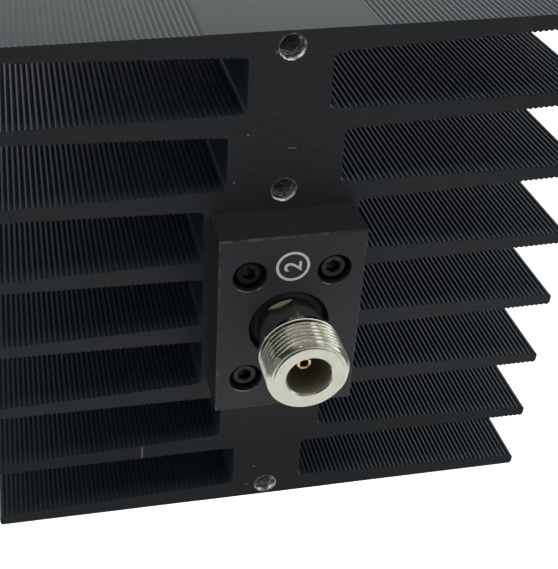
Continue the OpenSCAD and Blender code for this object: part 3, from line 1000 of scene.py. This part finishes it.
class ATTENUATOR_OT_jacks(Operator):
    """Add the threaded jacks of both ends"""

    bl_idname = "attenuator.jacks"
    bl_label = "Threaded jacks"

    columns: bpy.props.IntProperty(
        name="Columns", description="Faces round the jack", default=128, min=24)

    def outline(self, j, angle):
        """The shell's outline at one angle: up its outside, over the front and down its bores."""
        reach, inside = -END_Y - JACK_LOW.y, -END_Y - JACK_HIGH.y
        crest, flange, spigot = j.thread_d / 2, JACK_HIGH.x, j.spigot_d / 2
        bore, line, seat = j.bore / 2, j.line / 2, j.seat / 2
        neck, c, r = crest - j.neck_step, j.edge, j.ring_edge
        lip = reach - j.nose_lip
        thread_front = reach - j.nose_len
        thread_back = thread_front - j.thread_len
        ring_front = thread_back - j.relief_w
        ring_back = ring_front - j.ring_len
        shoulder = BLOCK_T - j.shoulder_sink
        quarter = [math.pi / 8 * i for i in range(5)]

        flat = min(neck, j.flat / max(abs(math.cos(angle - j.flat_turn)), FLAT_LIMIT))
        flat_back = BLOCK_T + j.flat_start
        slope = j.nose_step / j.nose_len
        nose = crest - j.nose_step
        return [
            (seat, inside), (spigot - c, inside), (spigot, inside + c), (spigot, 0),
            (flange, 0), (flange, j.flange_t - c), (flange - c, j.flange_t), (crest, j.flange_t),
            (crest, shoulder - j.neck_step), (neck, shoulder), (neck, flat_back),
            (flat, flat_back), (flat, ring_back),
            *((crest - r + r * math.sin(a), ring_back + r - r * math.cos(a)) for a in quarter),
            *((crest - r + r * math.cos(a), ring_front - r + r * math.sin(a)) for a in quarter),
            (crest - j.relief_depth, ring_front), (crest - j.relief_depth, thread_back),
            *thread(
                thread_back, lip, crest, j.thread_depth, j.thread_pitch, angle, ROUND_PROFILE,
                lambda height: crest - slope * max(height - thread_front, 0)),
            (nose, lip), (nose, reach - c / 2), (nose - c / 2, reach), (bore + 2 * c, reach),
            (bore, reach - 2 * c), (bore, reach - j.bore_depth), (line, reach - j.bore_depth),
            (line, j.bead_stop), (seat, j.bead_stop),
        ]

    def execute(self, context):
        j = settings("jack")
        for end in ENDS:
            mesh = turned(
                f"{end}_threaded_jack", self.columns, lambda angle: self.outline(j, angle), ring=True)
            mesh.transform(place_at(end))
            soften(mesh, 32)
            mesh.materials.append(finish("plated_shell"))
            piece = new_object(mesh.name, mesh)
            finish_piece(piece, "plated_shell", f"{end}_connector_shell")
        return {"FINISHED"}


class ATTENUATOR_OT_port_marks(Operator):
    """Print a ringed numeral beside each jack"""

    bl_idname = "attenuator.port_marks"
    bl_label = "Port marks"

    centre: length("Centre", "Height of the mark from the jack's axis", 0.01396)
    ring: length("Ring", "Outside diameter of the ring", 0.0066)
    stroke: length("Stroke", "Width of the ring's line", 0.00055)
    height: length("Height", "Height of the numeral", 0.0034)
    weight: number("Weight", "Thickening of the numeral's strokes", 0.012)
    film: length("Film", "Thickness of the ink", 0.00003)

    def numeral(self, text):
        """A numeral as a mesh with its middle at the origin."""
        curve = bpy.data.curves.new("numeral", "FONT")
        curve.body = text
        curve.extrude = HALF_THICK
        curve.offset = self.weight
        letter = new_object("numeral", curve)
        mesh = evaluated_mesh(letter)
        bpy.data.objects.remove(letter)
        places = [v.co for v in mesh.vertices]
        low = Vector([min(p[i] for p in places) for i in range(3)])
        high = Vector([max(p[i] for p in places) for i in range(3)])
        scale = self.height / (high.y - low.y)
        size = Matrix.Diagonal((scale, scale, self.film, 1))
        mesh.transform(size @ Matrix.Translation(-(low + high) / 2))
        return mesh

    def execute(self, context):
        outer, t = self.ring / 2, self.film / 2
        inner = outer - self.stroke
        ring = [(inner, -t), (outer, -t), (outer, t), (inner, t)]
        beside = Matrix.Translation((0, self.centre, BLOCK_T)) @ Matrix.Rotation(math.pi / 2, 4, "Z")
        for end, text in PORT_MARKS.items():
            bm = bmesh.new()
            bm.from_mesh(turned("ring", RING_FACES, lambda angle: ring, ring=True))
            bm.from_mesh(self.numeral(text))
            mesh = mesh_of(bm, f"{end}_port_mark")
            mesh.transform(place_at(end) @ beside)
            mesh.materials.append(finish("ink"))
            finish_piece(new_object(mesh.name, mesh), "block_anodised")
        return {"FINISHED"}


class ATTENUATOR_OT_node_finishes(Operator):
    """Give every CAD node the finish of its material slot"""

    bl_idname = "attenuator.node_finishes"
    bl_label = "Finishes"

    def execute(self, context):
        for slot, nodes in NODE_FINISHES.items():
            for node in nodes:
                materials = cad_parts[node].data.materials
                materials.clear()
                materials.append(finish(slot))
        return {"FINISHED"}


class ATTENUATOR_OT_stage(Operator):
    """Add the pale floor and the soft light"""

    bl_idname = "attenuator.stage"
    bl_label = "Stage"

    def floor(self, studio):
        """A square floor just below the object."""
        half = studio.floor_size / 2
        mesh = bpy.data.meshes.new("floor")
        corners = [(-half, -half), (half, -half), (half, half), (-half, half)]
        mesh.from_pydata([(x, y, SINK_LOW.z - FLOOR_GAP) for x, y in corners], [], [(0, 1, 2, 3)])
        mesh.materials.append(pale_floor(studio))
        new_object("floor", mesh)

    def sky(self, studio):
        """A dim room with a white wall, a hoop overhead, a window and a lamp."""
        world = bpy.data.worlds.new("studio_sky")
        world.use_nodes = True
        world.node_tree.nodes.clear()
        m = Maker(world.node_tree)
        towards = m.add("ShaderNodeTexCoord", output="Generated")

        def facing(way):
            return m.add("ShaderNodeVectorMath", towards, way, operation="DOT_PRODUCT", output="Value")

        height = facing((0, 0, 1))
        window, lamp, hoop, wall = studio.powers
        place, half = studio.hoop
        arch = m.step(abs(facing((0, 1, 0)) - place), 2 * half, half) * m.step(height, 0.0, 0.1)
        low, high = studio.wall_height
        white = m.step(facing(studio.wall), *studio.wall_turn) * m.step(height, high, low) * wall
        white = white.at_least(arch * hoop)
        for way, width, power in zip((studio.window, studio.lamp), studio.widths, (window, lamp)):
            white = white.at_least(m.step(facing(way), 1 - 2 * width, 1 - width) * power)
        dim = m.mix(m.step(facing(studio.haze), *studio.haze_edge), studio.room, studio.haze_colour)
        light = m.mix(m.step(height, 0.05, 0.4), studio.daylight, studio.overhead)
        lit = m.add("ShaderNodeBackground", Color=m.mix(white, dim, light, clamp=False))
        m.end_in("ShaderNodeOutputWorld", lit)
        bpy.context.scene.world = world

    def execute(self, context):
        studio = settings("studio")
        self.floor(studio)
        self.sky(studio)
        context.scene.view_settings.view_transform = "Standard"
        return {"FINISHED"}


class ATTENUATOR_PT_pieces(Panel):
    """Lists the pieces of the attenuator and their sizes."""

    bl_idname = "ATTENUATOR_PT_pieces"
    bl_label = "Attenuator"
    bl_space_type = "VIEW_3D"
    bl_region_type = "UI"
    bl_category = "Attenuator"

    def draw(self, context):
        for operator in OPERATORS:
            self.layout.operator(operator.bl_idname)
        for name, group in SETTINGS.items():
            box = self.layout.box()
            box.label(text=group.__name__)
            for key in group.__annotations__:
                box.prop(getattr(context.scene, name), key)


# In the order in which main calls them
OPERATORS = (
    ATTENUATOR_OT_camera,
    ATTENUATOR_OT_node_finishes,
    ATTENUATOR_OT_heat_sink,
    ATTENUATOR_OT_hole_threads,
    ATTENUATOR_OT_block_screws,
    ATTENUATOR_OT_jacks,
    ATTENUATOR_OT_port_marks,
    ATTENUATOR_OT_stage,
)
CLASSES = (*SETTINGS.values(), *OPERATORS, ATTENUATOR_PT_pieces)


def register():
    for cls in CLASSES:
        bpy.utils.register_class(cls)
    for name, group in SETTINGS.items():
        setattr(bpy.types.Scene, name, bpy.props.PointerProperty(type=group))


def unregister():
    for name in SETTINGS:
        delattr(bpy.types.Scene, name)
    for cls in reversed(CLASSES):
        bpy.utils.unregister_class(cls)


def main():
    register()
    for operator in OPERATORS:
        getattr(bpy.ops.attenuator, operator.bl_idname.split(".")[1])()


if __name__ == "__main__":
    main()
